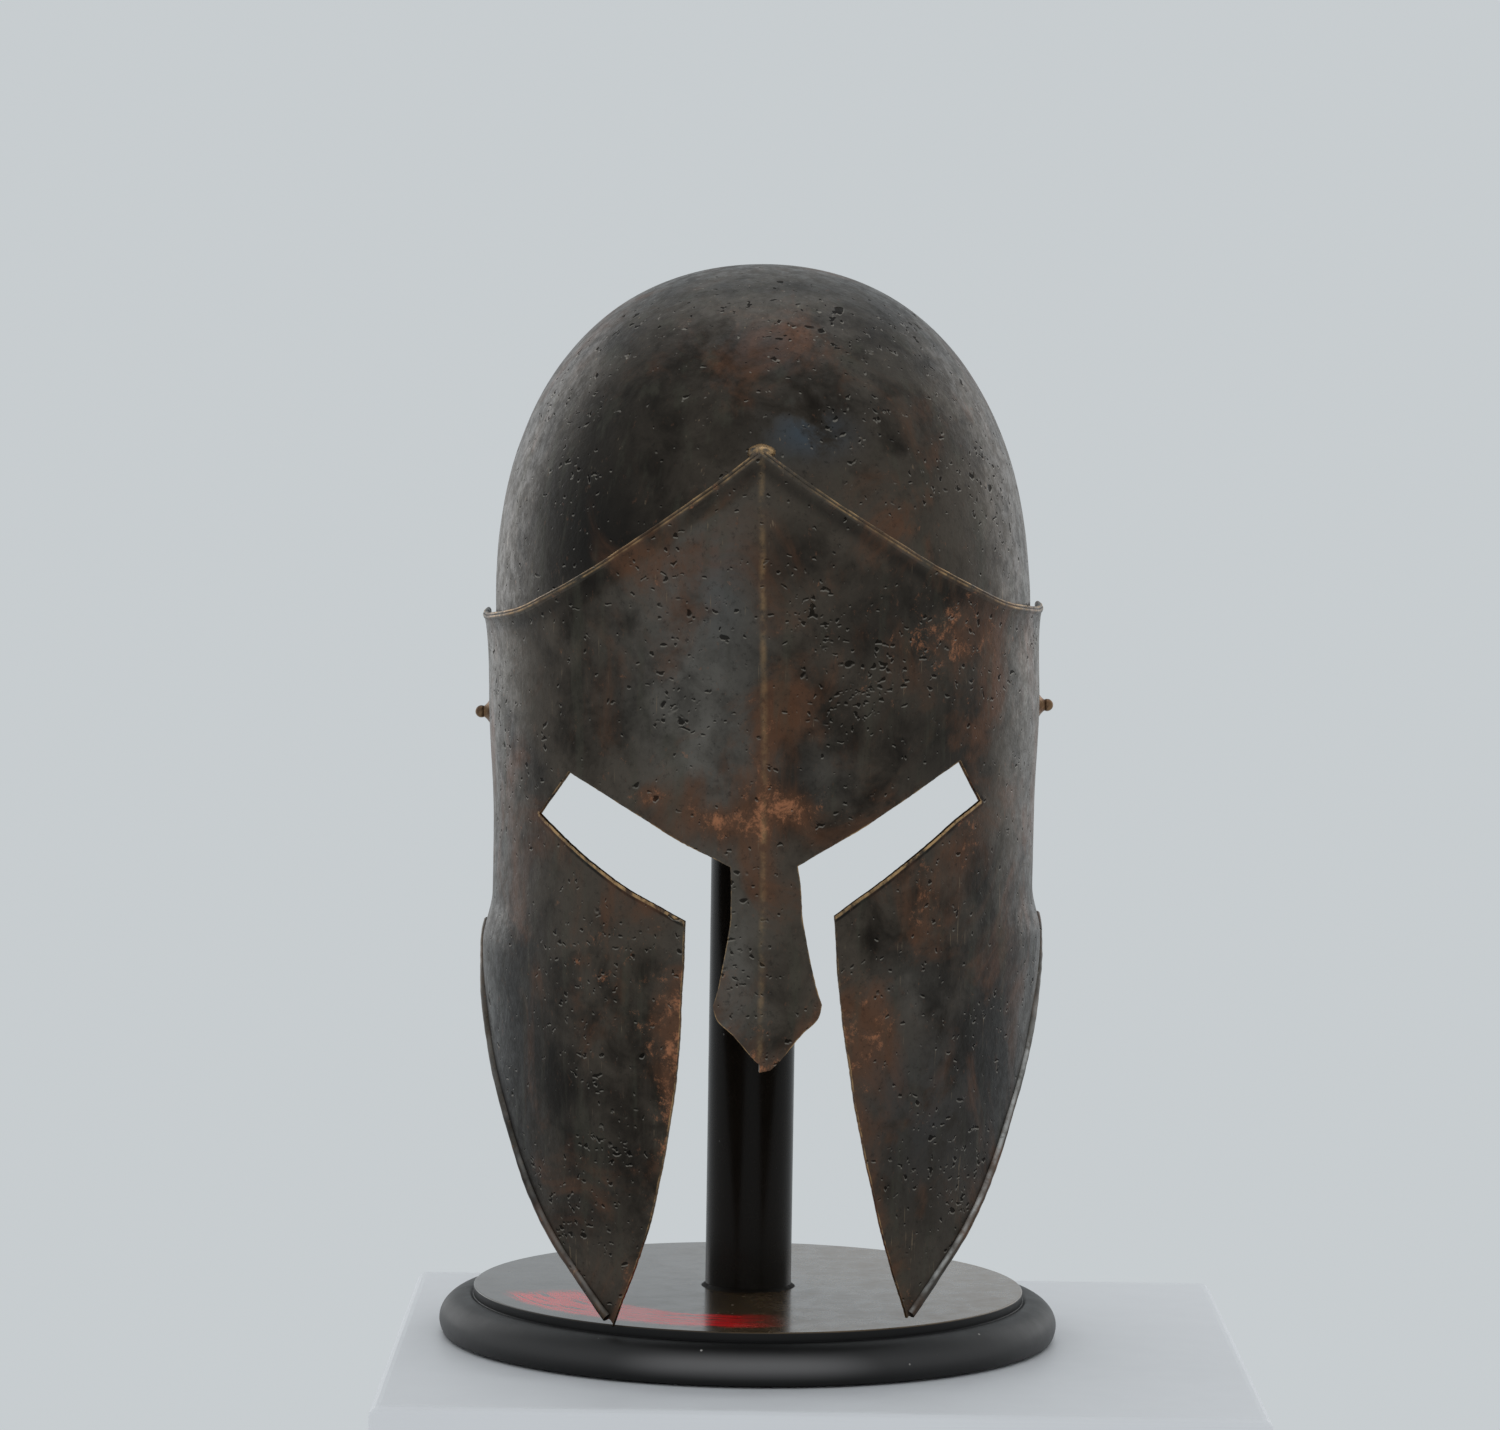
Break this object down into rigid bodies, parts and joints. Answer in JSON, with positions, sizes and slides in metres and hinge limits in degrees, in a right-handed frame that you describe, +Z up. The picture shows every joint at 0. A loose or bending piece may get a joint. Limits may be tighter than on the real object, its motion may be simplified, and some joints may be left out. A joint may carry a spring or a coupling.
{
  "type": "ancient greek helmet on a stand",
  "caption": "Closed Greek helmet in dark worn brass, with a creased face plate, eye slots, nasal and long pointed cheek guards, resting on a black turned post and round base.",
  "frame": {"origin": "centre of the stand's underside, on the table", "axes": "+Z up along the post, -Y the way the face looks, +X to the wearer's left"},
  "size_m": [0.23, 0.2458, 0.3984],
  "materials": {
    "helmet_brass": "dark antique patina, pitted and rubbed",
    "worn_brass": "patina worn through to brass",
    "black_wood": "glossy black paint",
    "knob_wood": "plain turned, oiled",
    "felt": "black felt",
    "screw_steel": "zinc plated",
    "glue": "dried glue, glossy"
  },
  "bodies": {
    "stand": {"base_felt": "felt", "stand_base": "black_wood", "stand_post": "black_wood", "post_screw": "screw_steel", "screw_washer": "screw_steel", "glue_bead": "glue"},
    "knob": {"support_knob": "knob_wood", "knob_felt": "felt"},
    "helmet": {"skull_bowl": "helmet_brass", "face_plate": "helmet_brass", "brow_edge_roll": "worn_brass", "apex_braze": "worn_brass", "right_cheek_roll": "worn_brass", "left_cheek_roll": "worn_brass", "side_studs": "helmet_brass", "stud_bosses": "helmet_brass", "stud_burrs": "helmet_brass"}
  },
  "joints": [
    {"name": "knob_turn", "type": "hinge", "parent": "stand", "child": "knob", "pos_m": [0, 0, 0.3802], "axis": [0, 0, 1], "continuous": true},
    {"name": "helmet_lift", "type": "slide", "parent": "knob", "child": "helmet", "axis": [0, 0, 1], "range_m": [0, 0.4]}
  ]
}
